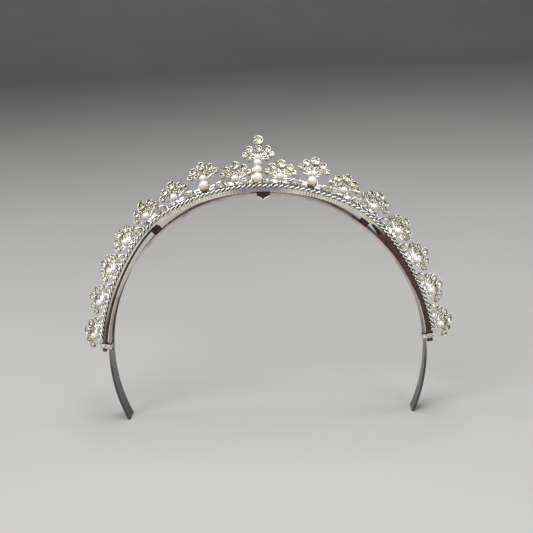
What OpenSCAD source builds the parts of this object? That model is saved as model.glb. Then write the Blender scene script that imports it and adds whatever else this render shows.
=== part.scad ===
// A silver tiara: an arched headband that stands on its two ends, with a band of
// seventeen leaning ornaments of pearls and clear cut stones.
// +Z is up, +Y is away from the front, and the origin is the middle of the floor under it.

/* [Arch] */
// Half of the headband's inside width at its widest level
arch_half_w = 62.9; // [62.7:0.1:63.1]
// Height of the inside of the arch above its widest level
arch_rise = 65; // [64.8:0.1:65.2]
// Angle from the vertical where the headband's top arc meets its side arcs
arc_join = 45; // [44:1:48]
// Height of the widest level above the floor
leg_drop = 26.5; // [24:0.5:28]

/* [Headband] */
// Thickness of the headband
headband_t = 0.9; // [0.8:0.05:0.95]
// Depth of the headband, from front to back
headband_depth = 8; // [7.6:0.1:8.4]
// Width of the long slots in the headband
slot_w = 5.8; // [5.6:0.1:6]
// Length of the bars that part the slots
slot_bar = 3; // [2.5:0.1:3.4]
// Angle of the side bars from the vertical
bar_angle = 39.5; // [38.5:0.5:40]
// Distance that the slots run on past the middle of the ties
slot_past_tie = 2.9; // [2.7:0.1:3.2]
// Distance along the headband from its middle to the clip, which sits a little to the right
clip_shift = 2; // [1.5:0.1:2.2]

/* [Base band] */
// Gap between the headband and the ribbed strip at the middle
strip_gap = 0.5; // [0.45:0.05:0.6]
// Radius of the band's flat top
band_top_r = 76; // [75:0.5:77]
// Radius of the band's shoulders
band_shoulder_r = 39.5; // [39:0.5:40]
// Radius of the band's sides
band_side_r = 88; // [87.5:0.5:89]
// Angle from the vertical where the shoulders begin
shoulder_from = 25; // [24.5:0.5:25.5]
// Angle from the vertical where the shoulders end
shoulder_to = 52; // [51.5:0.5:52.5]
// Radial width of the ribbed strip
strip_w = 1.6; // [1.4:0.1:1.8]
// Depth of the ribbed strip
strip_depth = 2.2; // [2:0.1:2.3]
// Distance that the strip stands in front of the headband
strip_proud = 0.6; // [0.5:0.1:0.7]
// Distance that the strip runs on past the last ornament
strip_past_end = 5.3; // [5:0.1:5.6]
// Distance that the back plate runs on past the last ornament
plate_past_end = 0.6; // [0.5:0.1:0.7]
// Thickness of the back plate
plate_t = 0.8; // [0.7:0.1:0.9]
// Radial width of the back plate
plate_w = 2; // [1.9:0.1:2.1]
// Outer radius of a scallop
scallop_r = 2.7; // [2.5:0.1:2.8]
// Thickness of a scallop's arched wire
scallop_wire = 0.7; // [0.6:0.1:0.8]
// Distance that one turn of the twisted wire takes up
rope_pitch = 4.2; // [4:0.1:5]
// Long and short diameters of the twisted wire
rope_size = [1.44, 0.9];

/* [Ornaments] */
// Ornaments on each side of the middle one
side_count = 8; // [8:1:8]
// Distance along the band from the middle to the first ornament
first_step = 8.4; // [8.3:0.1:8.6]
// Distance along the band from each ornament to the next
next_step = 11.85; // [11.8:0.05:12]
// Growth of that distance towards the ends
step_growth = 0.15; // [0.1:0.01:0.16]
// Angle by which the ornaments lean back out of the arch's plane
lean = 48; // [44:1:52]
// Thickness of the ornaments' stems and rays
stem_t = 0.8; // [0.7:0.05:0.9]
// Height of an ornament's pearl along its leaning stem
pearl_v = 2.5; // [2.4:0.1:2.6]
// Distance from the large pearl to the small one above it in the second ornament
second_pearl_step = 3.9; // [3.8:0.1:4.2]
// Heights of the middle ornament's four pearls along its stem
centre_pearls_v = [1.3, 5.4, 9.05, 12];
// Height of the finial stone above the middle ornament's last pearl
finial_v = 8.9; // [8.8:0.1:9.2]

/* [Stones] */
// Wall of the settings round the stones
setting_wall = 0.3; // [0.25:0.05:0.3]
// Clear space between a stone or pearl and its setting
seat_gap = 0.08; // [0.06:0.01:0.1]
// Diameter of the finial stone
finial_d = 3.8; // [3.4:0.1:3.8]
// Diameter of the small stones in a fan's inner row
inner_stone_d = 1.2; // [1.1:0.1:1.3]
// Distance from a side fan's pearl to its inner row, and the same in the middle fan
inner_reach = 3.95; // [3.8:0.05:4]
centre_inner_reach = 3.5; // [3.4:0.05:3.6]
// Diameter of the small stones under the scallops
gap_stone_d = 1.7; // [1.5:0.1:1.7]

/* [Pearls] */
// Diameter of the usual pearl
pearl_d = 3; // [2.8:0.1:3.1]
// Diameters of the second ornament's lower and upper pearls
second_pearls_d = [3.8, 2.8];
// Diameters of the middle ornament's pearls from the lowest up
centre_pearls_d = [4, 3.6, 3.1, 2.4];

/* [Ties] */
// Thickness of the silver wire that ties the ends
wire_d = 0.6; // [0.5:0.05:0.6]
// Turns of wire in each tie
wire_turns = 4; // [3:1:4]
// Distance from the last ornament to the middle of the tie
tie_past_end = 2.7; // [2.6:0.1:2.8]

/* [Hidden] */
$fn = 48;
// Facets round a small setting or a scallop
SMALL_ROUND = 24;
// One row for each stone of a fan's outer row, measured from the fan's pearl
FAN = [
    // across, up, diameter
    [-5.2, 3.2, 1.8],
    [-3.4, 5.4, 2.6],
    [0, 6.9, 3.2],
    [3.4, 5.4, 2.6],
    [5.2, 3.2, 1.8],
];
CENTRE_FAN = [
    // across, up, diameter
    [-5.3, 2.2, 1.9],
    [-3.5, 4.7, 2.6],
    [0, 5, 2.6],
    [3.5, 4.7, 2.6],
    [5.3, 2.2, 1.9],
];
// Columns of those two tables
ACROSS = 0;
UP = 1;
SIZE = 2;
// Angles from a fan's stem of the small stones in its inner row
INNER_ANGLES = [-46, -16, 16, 46];
CENTRE_INNER_ANGLES = [-85, -52, 52, 85];
function inner_row(angles, reach) = [for (a = angles) [reach * sin(a), reach * cos(a), inner_stone_d]];
FAN_INNER = inner_row(INNER_ANGLES, inner_reach);
CENTRE_INNER = inner_row(CENTRE_INNER_ANGLES, centre_inner_reach);
// Angles of the short rays that end in the open
SHORT_RAYS = [-80, 80];
CENTRE_SHORT_RAYS = [-20, 20];
short_ray_len = 4.1;
short_ray_w = 0.36;
short_ray_t = stem_t * 0.8;
// Width of the longer rays, and of the bars that join a fan's settings
ray_w = 0.5;
fan_tie_w = 0.6;

// The headband's inside line: a top arc and two side arcs of larger radius
arc_shift = (arch_rise - arch_half_w) / (sin(arc_join) + cos(arc_join) - 1);
side_r = arch_half_w + arc_shift * sin(arc_join);
top_r = side_r - arc_shift;
// The legs run on past the floor and are cut off level with it
foot_run_on = 3;
foot_angle = 90 + asin(leg_drop / side_r) + foot_run_on;

// A curve is a list of arcs, each one row of these five values, from the top down the right side
CENTRE_X = 0;
CENTRE_Z = 1;
RADIUS = 2;
FROM = 3;
TO = 4;
function top_arc(top, radius, to) = [0, top - radius, radius, 0, to];
// An arc that goes on from another one without a kink
function next_arc(arc, radius, to) =
    let (shift = arc[RADIUS] - radius)
    [arc[CENTRE_X] + shift * sin(arc[TO]), arc[CENTRE_Z] + shift * cos(arc[TO]), radius, arc[TO], to];

HEADBAND_TOP = top_arc(leg_drop + arch_rise, top_r, arc_join);
HEADBAND = [HEADBAND_TOP, next_arc(HEADBAND_TOP, side_r, foot_angle)];
// The inside line of the ribbed strip, which bows away from the headband at its shoulders
BAND_TOP = top_arc(leg_drop + arch_rise + headband_t + strip_gap, band_top_r, shoulder_from);
BAND_SHOULDER = next_arc(BAND_TOP, band_shoulder_r, shoulder_to);
band_end_angle = 100;
BAND = [BAND_TOP, BAND_SHOULDER, next_arc(BAND_SHOULDER, band_side_r, band_end_angle)];

// The back plate reaches a little under the strip, and the ornaments' stems start below its edge
plate_lap = 0.4;
ornament_drop = 0.7;
// Places across the base band, outwards from the strip's inside
plate_in = strip_w - plate_lap;
plate_out = plate_in + plate_w;
ornament_out = plate_out - ornament_drop;

// How far the plate stands behind the strip's front, and the ornaments behind the plate
plate_setback = 1.2;
ornament_setback = 0.1;
// Places in depth, from the headband's middle plane
headband_front = -headband_depth / 2;
strip_front = headband_front - strip_proud;
plate_front = strip_front + plate_setback;
plate_back = plate_front + plate_t;
ornament_y = plate_back + ornament_setback;
// Clear space between two pieces that stand close
small_gap = 0.06;
// How far a scallop's centre is sunk under the plate's edge
scallop_sink = 0.1;
// How far a scallop's back stands in and its front stands out from the plate's faces
scallop_recess = 0.05;
scallop_proud = 0.1;

// How far a solder seam stands out, and its length
seam_rise = 0.03;
seam_w = 1.2;

// A setting's back and front, from the ornament's plane, and the thickness of its floor
setting_back = -0.5;
setting_front = 0.9;
setting_floor = 0.3;
// A stone's depth under its widest level, its crown's height and its table, as parts of its diameter
gem_depth = 0.42;
gem_crown = 0.16;
gem_table = 0.56;
// Clear space under a stone's point, and the least that its widest level lies under the setting's front
gem_lift = 0.06;
gem_drop = 0.2;
GEM_SIDES = 8;

// The second ornament carries a large pearl a little lower than the others'
second_low_v = pearl_v - 0.3;
second_high_v = second_low_v + second_pearl_step;

// The foremost point, on the ties, and the rearmost, on the finial: the depth is centred on them
tie_front = strip_front - small_gap - wire_d;
finial_reach = centre_pearls_v[3] + finial_v + finial_d / 2 + setting_wall;
model_back = ornament_y + finial_reach * sin(lean) - setting_back * cos(lean);
depth_shift = -(tie_front + model_back) / 2;

// Distance along the band of side ornament i, and of the scallop just before it
function ornament_s(i) = i == 0 ? 0 : first_step + next_step * (i - 1) + step_growth * (i - 1) * (i - 1);
function scallop_s(i) = (ornament_s(i - 1) + ornament_s(i)) / 2;
// Angle on the band at a distance s along the ornaments' line, counted from arc k on
function angle_at(s, k = 0) =
    let (arc = BAND[k], line_r = arc[RADIUS] + ornament_out, run = line_r * (arc[TO] - arc[FROM]) * PI / 180)
    s <= run || k == len(BAND) - 1
        ? arc[FROM] + s / line_r * 180 / PI
        : angle_at(s - run, k + 1);
function past_end(distance) = angle_at(ornament_s(side_count) + distance);
// Point of a curve's right half at angle a, at a distance off outside it
function arc_of(curve, a) = [for (arc = curve) if (a <= arc[TO]) arc][0];
function curve_x(curve, a, off) =
    let (arc = arc_of(curve, a)) arc[CENTRE_X] + (arc[RADIUS] + off) * sin(a);
function curve_z(curve, a, off) =
    let (arc = arc_of(curve, a)) arc[CENTRE_Z] + (arc[RADIUS] + off) * cos(a);

// Where the ties hold the band, and the gap and the slant between it and the headband there
tie_angle = past_end(tie_past_end);
tie_reach = [
    curve_x(BAND, tie_angle, 0) - HEADBAND[1][CENTRE_X],
    curve_z(BAND, tie_angle, 0) - HEADBAND[1][CENTRE_Z],
];
tie_head_angle = atan2(tie_reach[0], tie_reach[1]);
tie_gap = norm(tie_reach) - side_r - headband_t;
tie_slant = tie_head_angle - tie_angle;

SIDES = [["left", -1], ["right", 1]];

// Sweeps a flat outline (x outwards, y in depth) round one arc, between two angles
module arc_part(arc, a0, a1) {
    translate([arc[CENTRE_X], 0, arc[CENTRE_Z]])
        rotate([90, 0, 0])
            rotate([0, 0, 90 - a1])
                rotate_extrude(angle = a1 - a0, $fn = 180)
                    translate([arc[RADIUS], 0])
                        mirror([0, 1])
                            children();
}

// Sweeps a flat outline along the right half of a curve, running on a little past each arc
module half_sweep(curve, a0, a1) {
    run_on = 0.3;
    for (arc = curve)
        if (a0 < arc[TO] && a1 > arc[FROM])
            arc_part(arc, max(a0, arc[FROM]), min(a1, arc[TO] + run_on)) children();
}

// Sweeps a flat outline along a whole curve, down to angle a1 on both sides
module curve_sweep(curve, a1) {
    arc_part(curve[0], -curve[0][TO], curve[0][TO]) children();
    both_sides()
        for (k = [1:len(curve) - 1])
            arc_part(curve[k], curve[k][FROM], min(a1, curve[k][TO])) children();
}

module both_sides() {
    children();
    mirror([1, 0, 0]) children();
}

// Mirrors to the side that sign names, -1 for the left one
module on_side(sign) {
    mirror([sign < 0 ? 1 : 0, 0, 0]) children();
}

// Moves to angle a on a curve's right half: x along the curve, y back, z outwards
module on_curve(curve, a, off) {
    translate([curve_x(curve, a, off), 0, curve_z(curve, a, off)])
        rotate([0, a, 0])
            children();
}

// Moves to a leaning ornament's own plane: x across, y up its stem, z out of its face
module on_ornament(i, sign) {
    on_side(sign)
        on_curve(BAND, angle_at(ornament_s(i)), ornament_out)
            translate([0, ornament_y, 0])
                rotate([90 - lean, 0, 0])
                    children();
}

// Moves everything so that the origin is the middle of the depth
module in_place() {
    translate([0, depth_shift, 0]) children();
}

// A bar between two points of an ornament's plane
module bar(from, to, width, thick) {
    run = to - from;
    translate([from[0], from[1], -thick / 2])
        rotate([0, 0, atan2(run[1], run[0])])
            translate([0, -width / 2, 0])
                cube([norm(run), width, thick]);
}

// The headband, a flat spring band with slots and two solid legs
module headband() {
    half_bar = slot_bar / 2 / top_r * 180 / PI;
    top_end = slot_w / 2 / top_r * 180 / PI;
    slot_to = tie_head_angle + (slot_past_tie - slot_w / 2) / side_r * 180 / PI;
    rail_w = (headband_depth - slot_w) / 2;
    difference() {
        curve_sweep(HEADBAND, foot_angle)
            translate([0, headband_front])
                square([headband_t, headband_depth]);
        both_sides() {
            slot(half_bar + top_end, bar_angle - half_bar - top_end);
            slot(bar_angle + half_bar + top_end, slot_to);
        }
        translate([-arch_half_w * 1.5, -headband_depth, -headband_depth])
            cube([arch_half_w * 3, headband_depth * 2, headband_depth]);
    }
    seams(HEADBAND, 0, headband_t, headband_front, rail_w);
    seams(HEADBAND, 0, headband_t, -headband_front - rail_w, rail_w);
}

// Low solder seams, on both sides, over a strip wherever it crosses from one arc to the next
module seams(curve, off, thick, y, depth) {
    both_sides()
        for (k = [0:len(curve) - 2])
            on_curve(curve, curve[k][TO], off - seam_rise)
                translate([-seam_w / 2, y - seam_rise, 0])
                    cube([seam_w, depth + 2 * seam_rise, thick + 2 * seam_rise]);
}

// A slot whose end circles, a hair narrower than it, are centred at the angles a0 and a1
module slot(a0, a1) {
    end_d = slot_w - 0.04;
    half_sweep(HEADBAND, a0, a1)
        translate([-1, -slot_w / 2])
            square([headband_t + 2, slot_w]);
    for (a = [a0, a1])
        on_curve(HEADBAND, a, -1)
            cylinder(d = end_d, h = headband_t + 2);
}

// A folded clip under the middle of the band, with a pointed tongue
module centre_clip() {
    clip_half = 2.5;
    wall = 0.8;
    wall_top = headband_t + strip_gap - 0.13;
    clip_angle = clip_shift / top_r * 180 / PI;
    shoulder = 0.1;
    tongue_half = 0.9;
    tongue_len = 1.9;
    // The clip is cut out round the headband, and behind its front wall
    cut_angle = 8;
    cut_depth = 3;
    difference() {
        on_curve(HEADBAND, clip_angle, 0)
            translate([0, headband_front - small_gap - wall, 0])
                rotate([-90, 0, 0])
                    linear_extrude(headband_depth + 2 * (small_gap + wall))
                        polygon([
                            [-clip_half, -wall_top], [clip_half, -wall_top], [clip_half, shoulder],
                            [tongue_half, wall + small_gap], [0, tongue_len],
                            [-tongue_half, wall + small_gap], [-clip_half, shoulder],
                        ]);
        arc_part(HEADBAND_TOP, -cut_angle, cut_angle)
            translate([-small_gap, headband_front - small_gap])
                square([cut_depth + 1, headband_depth + 2 * small_gap]);
        on_curve(HEADBAND, clip_angle, -cut_depth)
            translate([-clip_half - 1, headband_front + 2 * wall, 0])
                cube([2 * clip_half + 2, headband_depth * 2, cut_depth - wall - small_gap]);
    }
}

// A block that holds the band off the headband at a bar, fitted to the curves of both
module bracket(sign) {
    half_angle = 1.6;
    proud = 0.3;
    block = [5, 1.9];
    // The band is cut away well past the block on every side
    band_angle = 15;
    on_side(sign)
        difference() {
            half_sweep(HEADBAND, bar_angle - half_angle, bar_angle + half_angle)
                translate([headband_t + small_gap, headband_front - proud])
                    square(block);
            half_sweep(BAND, bar_angle - band_angle, bar_angle + band_angle)
                translate([-small_gap, strip_front - 1])
                    square([8, strip_depth + 2]);
        }
}

// A coil of wire round the headband's front rail and the ribbed strip: turns on a thinner core
module binding(sign) {
    turn_pitch = wire_d * 0.95;
    turn_len = wire_d * 0.8;
    core_d = wire_d * 0.6;
    coil_len = turn_pitch * wire_turns;
    inner_y = strip_depth + 2 * small_gap;
    rail_reach = tie_gap + headband_t + small_gap + coil_len / 2 * tan(tie_slant);
    inner_z = rail_reach + strip_w + small_gap;
    on_side(sign)
        on_curve(BAND, tie_angle, -rail_reach)
            translate([0, strip_front - small_gap, 0])
                difference() {
                    union() {
                        for (turn = [0:wire_turns - 1])
                            translate([-coil_len / 2 + turn * turn_pitch, 0, 0])
                                rotate([90, 0, 90])
                                    linear_extrude(turn_len)
                                        wire_outline(inner_y, inner_z, wire_d);
                        translate([-coil_len / 2, 0, 0])
                            rotate([90, 0, 90])
                                linear_extrude(coil_len)
                                    wire_outline(inner_y, inner_z, core_d);
                    }
                    translate([-coil_len, 0, 0])
                        cube([coil_len * 2, inner_y, inner_z]);
                }
}

// The outline of one turn of wire round a rectangle
module wire_outline(inner_y, inner_z, wire) {
    polygon([
        [-wire, 0], [0, -wire], [inner_y, -wire], [inner_y + wire, 0],
        [inner_y + wire, inner_z], [inner_y, inner_z + wire], [0, inner_z + wire], [-wire, inner_z],
    ]);
}

// A scallop's outer radius, less where two ornaments stand close
foot_room = 2.5;
function scallop_size(i) = min(scallop_r, scallop_s(i) - ornament_s(i - 1) - foot_room);

// The ribbed strip and its back plate, with the scallops that stand on the plate
module base_band() {
    difference() {
        union() {
            curve_sweep(BAND, past_end(strip_past_end))
                translate([0, strip_front])
                    square([strip_w, strip_depth]);
            curve_sweep(BAND, past_end(plate_past_end))
                translate([plate_in, plate_front])
                    square([plate_w, plate_t]);
            seams(BAND, 0, strip_w, strip_front, strip_depth);
            seams(BAND, plate_in, plate_w, plate_front, plate_t);
            on_scallops()
                scallop($scallop);
        }
        on_scallops()
            scallop_bore($scallop);
    }
}

// Repeats something at every scallop, whose radius is then called $scallop
module on_scallops() {
    both_sides()
        for (i = [1:side_count]) {
            $scallop = scallop_size(i);
            on_curve(BAND, angle_at(scallop_s(i)), plate_out)
                translate([0, plate_back, 0])
                    rotate([90, 0, 0])
                        children();
        }
}

// An arched wire that stands on the back plate, with a small setting inside it
module scallop(radius) {
    translate([0, -scallop_sink, scallop_recess])
        difference() {
            cylinder(r = radius, h = plate_t - scallop_recess + scallop_proud, $fn = SMALL_ROUND);
            translate([0, 0, -1])
                cylinder(r = radius - scallop_wire, h = plate_t + 2, $fn = SMALL_ROUND);
        }
    wall = 0.2;
    rise = 0.3;
    translate([0, gap_stone_size(radius) / 2, 2 * scallop_recess])
        cylinder(r = gap_stone_size(radius) / 2 + seat_gap + wall, h = plate_t + rise, $fn = SMALL_ROUND);
}

module scallop_bore(radius) {
    translate([0, gap_stone_size(radius) / 2, setting_floor])
        gem_bore(gap_stone_size(radius));
}

// A stone that fits under a scallop of this radius, a little below its wire
function gap_stone_size(radius) = min(gap_stone_d, radius - scallop_wire - scallop_sink - small_gap);

// The twisted wire, which lies on the strip in front of the plate
module rope_border() {
    turn_steps = 6;
    sides = 6;
    clear = 0.04;
    off = strip_w + rope_size[0] / 2 + clear;
    depth = plate_front - scallop_proud - rope_size[0] / 2 - clear;
    end_s = ornament_s(side_count) + plate_past_end;
    rings = floor(2 * end_s / rope_pitch * turn_steps);
    ring_s = [for (k = [0:rings]) -end_s + 2 * end_s * k / rings];
    points = [
        for (k = [0:rings])
            for (j = [0:sides - 1])
                rope_point(ring_s[k], 360 * k / turn_steps, 360 * j / sides, off, depth)
    ];
    walls = [
        for (k = [0:rings - 1])
            for (j = [0:sides - 1])
                let (here = k * sides, next = here + sides, side = (j + 1) % sides)
                    each [[here + j, here + side, next + side], [here + j, next + side, next + j]]
    ];
    caps = [
        [for (j = [sides - 1:-1:0]) j],
        [for (j = [0:sides - 1]) rings * sides + j],
    ];
    polyhedron(points = points, faces = concat(walls, caps), convexity = 6);
}

// Radius of the wire's oval section, whose long axis is at angle twist, in direction look
function oval_r(twist, look) =
    let (long = rope_size[0] / 2, short = rope_size[1] / 2)
    long * short / norm([short * cos(look - twist), long * sin(look - twist)]);

// A point on the skin of the twisted wire: s along the band, look round the wire
function rope_point(s, twist, look, off, depth) =
    let (a = angle_at(abs(s)), out = off + oval_r(twist, look) * cos(look))
    [
        sign(s) * curve_x(BAND, a, out),
        depth + oval_r(twist, look) * sin(look),
        curve_z(BAND, a, out),
    ];

function setting_r(stone_d) = stone_d / 2 + setting_wall;

// The eight-sided hole that a stone sits in
module gem_bore(stone_d) {
    through = 4;
    cylinder(r = stone_d / 2 + seat_gap, h = through, $fn = GEM_SIDES);
}

// A cut stone with a flat table, eight crown facets and eight pavilion facets
module gem(stone_d) {
    rotate_extrude($fn = GEM_SIDES)
        polygon([
            [0, -gem_depth * stone_d],
            [stone_d / 2, 0],
            [gem_table * stone_d / 2, gem_crown * stone_d],
            [0, gem_crown * stone_d],
        ]);
}

// The settings and rays of a fan whose pearl is at height v
module fan_body(fan, inner, rays, v) {
    for (row = concat(fan, inner)) {
        translate([row[ACROSS], v + row[UP], setting_back])
            cylinder(r = setting_r(row[SIZE]), h = setting_front - setting_back, $fn = SMALL_ROUND);
        bar([0, v], [row[ACROSS], v + row[UP]], ray_w, stem_t);
    }
    for (a = rays)
        bar([0, v], [short_ray_len * sin(a), v + short_ray_len * cos(a)], short_ray_w, short_ray_t);
    arc_tie(fan, v);
}

// Short bars that join each outer setting to the next
module arc_tie(fan, v) {
    for (i = [1:len(fan) - 1])
        bar([fan[i - 1][ACROSS], v + fan[i - 1][UP]], [fan[i][ACROSS], v + fan[i][UP]], fan_tie_w, stem_t);
}

module fan_holes(rows, v) {
    for (row = rows)
        translate([row[ACROSS], v + row[UP], setting_back + setting_floor])
            gem_bore(row[SIZE]);
}

// Height of a pearl's centre over the ornament's plane
pearl_lift = 0.1;
function pearl_w(size) = stem_t / 2 + size / 2 + pearl_lift;

// A small cup under a pearl at height v, or a wide bezel that holds it all round
module pearl_cup(size, v, wide) {
    bezel_wall = 0.32;
    bezel_drop = 0.1;
    cup_r = wide ? size / 2 + seat_gap + bezel_wall : size * 0.36;
    cup_top = pearl_w(size) - (wide ? bezel_drop : size * 0.2);
    translate([0, v, -stem_t / 2])
        cylinder(r = cup_r, h = cup_top + stem_t / 2);
}

module pearl_hole(size, v) {
    translate([0, v, pearl_w(size)])
        sphere(d = size + 2 * seat_gap);
}

module pearl(size, v) {
    translate([0, v, pearl_w(size)])
        sphere(d = size);
}

// The shield-shaped foot of an ornament, up to its pearl at height v
module foot(width, v) {
    translate([0, 0, -stem_t / 2])
        linear_extrude(stem_t)
            polygon([
                [-width * 0.8, -0.9], [width * 0.8, -0.9], [width * 0.55, 0.5],
                [width, v], [0, v + width], [-width, v], [-width * 0.55, 0.5],
            ]);
}

// The two small leaves beside a foot
module leaves(reach) {
    for (sign = [-1, 1])
        translate([sign * 0.5, 0.1, -stem_t / 2])
            linear_extrude(stem_t * 0.8)
                polygon([
                    [0, 0], [sign * reach * 0.5, 0.25], [sign * reach, 1.3],
                    [sign * reach * 0.45, 1.25],
                ]);
}

// Room for the base band, left free by an ornament's foot
module band_room() {
    room_w = 20;
    deep = 10;
    before = 3;
    behind = 10;
    over_plate = ornament_drop + small_gap;
    over_strip = strip_w + small_gap - ornament_out;
    rotate([lean - 90, 0, 0])
        translate([-room_w / 2, strip_front - ornament_y, -deep]) {
            translate([0, -before, 0])
                cube([room_w, before + plate_back + small_gap - strip_front, deep + over_plate]);
            cube([room_w, behind, deep + over_strip]);
        }
}

// A side ornament: a foot with two leaves, a cupped pearl or two, and a fan
module palmette_side(i, sign) {
    foot_w = 1.3;
    leaf_reach = 2.9;
    stem_w = 1.6;
    second = i == 2;
    v = second ? second_high_v : pearl_v;
    low_v = second ? second_low_v : pearl_v;
    low_size = second ? second_pearls_d[0] : pearl_d;
    on_ornament(i, sign)
        difference() {
            union() {
                foot(foot_w, low_v);
                leaves(leaf_reach);
                pearl_cup(low_size, low_v, second);
                fan_body(FAN, FAN_INNER, SHORT_RAYS, v);
                if (second) {
                    bar([0, low_v], [0, v], stem_w, stem_t);
                    pearl_cup(second_pearls_d[1], v, false);
                }
            }
            fan_holes(concat(FAN, FAN_INNER), v);
            pearl_hole(low_size, low_v);
            if (second)
                pearl_hole(second_pearls_d[1], v);
            band_room();
        }
}

// The middle ornament: a foot, a column of four pearls, a fan and a finial
module palmette_centre() {
    foot_w = 1.7;
    stem_w = 2.4;
    finial_stem_w = 0.7;
    v = centre_pearls_v[3];
    on_ornament(0, 1)
        difference() {
            union() {
                foot(foot_w, centre_pearls_v[0]);
                bar([0, 0.4], [0, v], stem_w, stem_t);
                for (k = [0:3])
                    pearl_cup(centre_pearls_d[k], centre_pearls_v[k], k < 2);
                fan_body(CENTRE_FAN, CENTRE_INNER, CENTRE_SHORT_RAYS, v);
                translate([0, v + finial_v, setting_back])
                    cylinder(r = setting_r(finial_d), h = setting_front - setting_back);
                bar([0, v], [0, v + finial_v], finial_stem_w, stem_t);
            }
            fan_holes(concat(CENTRE_FAN, CENTRE_INNER), v);
            translate([0, v + finial_v, setting_back + setting_floor])
                gem_bore(finial_d);
            for (k = [0:3])
                pearl_hole(centre_pearls_d[k], centre_pearls_v[k]);
            band_room();
        }
}

// The stones of one fan, sunk into their settings
module fan_gems(rows, v) {
    for (row = rows)
        translate([row[ACROSS], v + row[UP], gem_seat(row[SIZE])])
            gem(row[SIZE]);
}

// Height of a stone's widest level over the ornament's plane
function gem_seat(size) =
    max(setting_front - gem_drop, setting_back + setting_floor + gem_lift + gem_depth * size);

module stones_side(sign) {
    for (i = [1:side_count])
        on_ornament(i, sign)
            fan_gems(concat(FAN, FAN_INNER), i == 2 ? second_high_v : pearl_v);
}

module stones_centre() {
    v = centre_pearls_v[3];
    on_ornament(0, 1) {
        fan_gems(concat(CENTRE_FAN, CENTRE_INNER), v);
        translate([0, v + finial_v, gem_seat(finial_d)])
            gem(finial_d);
    }
}

module gap_stones() {
    on_scallops() {
        size = gap_stone_size($scallop);
        translate([0, size / 2, setting_floor + gem_lift + gem_depth * size])
            gem(size);
    }
}

module side_pearl(i, sign) {
    second = i == 2;
    on_ornament(i, sign)
        pearl(second ? second_pearls_d[0] : pearl_d, second ? second_low_v : pearl_v);
}

color("slategray") in_place() headband();
color("dimgray") in_place() centre_clip();
color("rosybrown") in_place() bracket(-1);  // bracket_left
color("rosybrown") in_place() bracket(1);  // bracket_right
color("silver") in_place() binding(-1);  // binding_left
color("silver") in_place() binding(1);  // binding_right
color("gainsboro") in_place() base_band();
color("silver") in_place() rope_border();
color("gainsboro") in_place() palmette_centre();
for (side = SIDES) for (i = [1:side_count])
    color("gainsboro") in_place() palmette_side(i, side[1]);
for (k = [1:4])
    color("ivory") in_place() on_ornament(0, 1) pearl(centre_pearls_d[k - 1], centre_pearls_v[k - 1]);
for (side = SIDES) for (i = [1:side_count])
    color("ivory") in_place() side_pearl(i, side[1]);
for (side = SIDES)
    color("ivory") in_place() on_ornament(2, side[1])
            pearl(second_pearls_d[1], second_high_v);
color("lightcyan") in_place() stones_side(-1);  // stones_left
color("lightcyan") in_place() stones_side(1);  // stones_right
color("lightcyan") in_place() stones_centre();
color("lightcyan") in_place() gap_stones();
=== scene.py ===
import math

import bmesh
import bpy
from mathutils import Matrix, Vector, noise


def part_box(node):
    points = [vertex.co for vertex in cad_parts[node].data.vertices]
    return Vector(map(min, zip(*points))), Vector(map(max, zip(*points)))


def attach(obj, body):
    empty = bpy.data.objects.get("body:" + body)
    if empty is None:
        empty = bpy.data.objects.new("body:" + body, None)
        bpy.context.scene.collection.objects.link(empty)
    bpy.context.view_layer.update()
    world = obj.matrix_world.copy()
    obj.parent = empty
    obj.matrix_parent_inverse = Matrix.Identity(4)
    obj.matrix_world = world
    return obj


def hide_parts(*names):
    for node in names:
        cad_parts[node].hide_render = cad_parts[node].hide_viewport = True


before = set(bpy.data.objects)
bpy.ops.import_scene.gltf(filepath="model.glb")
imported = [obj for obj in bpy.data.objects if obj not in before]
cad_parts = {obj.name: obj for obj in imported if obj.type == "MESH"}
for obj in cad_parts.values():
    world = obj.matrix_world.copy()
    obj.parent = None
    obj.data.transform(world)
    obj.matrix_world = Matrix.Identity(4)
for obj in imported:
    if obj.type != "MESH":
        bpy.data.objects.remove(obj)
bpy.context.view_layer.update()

MM = 0.001
SIDES = (("left", -1), ("right", 1))

# Sizes in mm, as in part.scad
ARCH_HALF_W = 62.9
ARCH_RISE = 65.0
ARC_JOIN = 45.0
LEG_DROP = 26.5
HEADBAND_T = 0.9
HEADBAND_DEPTH = 8.0
STRIP_GAP = 0.5
BAND_TOP_R = 76
BAND_SHOULDER_R = 39.5
BAND_SIDE_R = 88
SHOULDER_FROM = 25
SHOULDER_TO = 52
STRIP_W = 1.6
STRIP_DEPTH = 2.2
STRIP_PROUD = 0.6
STRIP_PAST_END = 5.3
PLATE_PAST_END = 0.6
PLATE_T = 0.8
PLATE_W = 2.0
ROPE_PITCH = 4.2
ROPE_LONG = 1.44
ROPE_CLEAR = 0.04
SIDE_COUNT = 8
FIRST_STEP = 8.4
NEXT_STEP = 11.85
STEP_GROWTH = 0.15
LEAN = 48.0
STEM_T = 0.8
STEM_INSET = 0.7
PEARL_V = 2.5
SECOND_LOW_V = 2.2
SECOND_STEP = 3.9
CENTRE_PEARLS_V = (1.3, 5.4, 9.05, 12.0)
CENTRE_PEARLS_D = (4.0, 3.6, 3.1, 2.4)
FINIAL_V = 8.9
FINIAL_D = 3.8
PEARL_D = 3.0
SECOND_PEARLS_D = (3.8, 2.8)
GAP_STONE_D = 1.7
SCALLOP_R = 2.7
SCALLOP_WIRE = 0.7
WIRE_D = 0.6
WIRE_TURNS = 4
TIE_PAST_END = 2.7
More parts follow.
